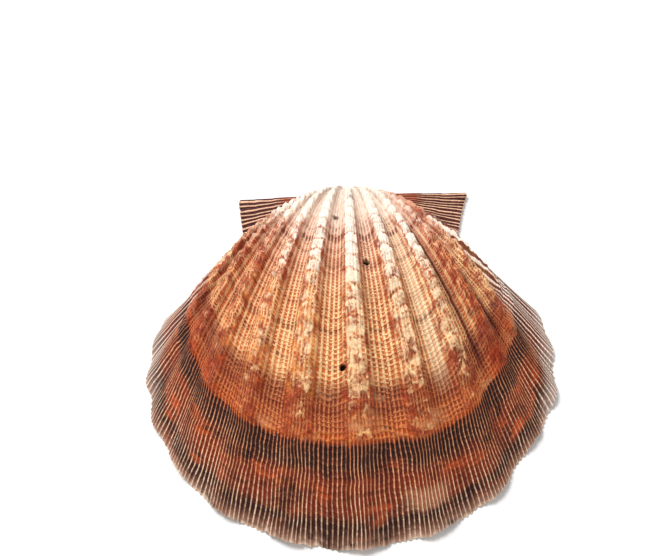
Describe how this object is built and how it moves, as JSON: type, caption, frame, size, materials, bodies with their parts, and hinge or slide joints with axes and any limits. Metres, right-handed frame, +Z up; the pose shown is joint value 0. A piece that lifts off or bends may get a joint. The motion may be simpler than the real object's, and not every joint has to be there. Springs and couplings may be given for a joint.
{
  "type": "scallop shell",
  "caption": "Single domed scallop valve with broad ribs, fine riblets and two ears, lying on its rim.",
  "frame": {"origin": "middle of the valve's footprint, on the plane that its rim lies on", "axes": "+Z up through the dome, +Y from the front of the rim to the hinge line, +X along the hinge line to the front ear"},
  "size_m": [0.1368, 0.1427, 0.034],
  "materials": {
    "shell": "semi-matt shell, rust, chocolate and cream"
  },
  "bodies": {
    "root": {"scallop_valve": "shell"}
  },
  "joints": []
}
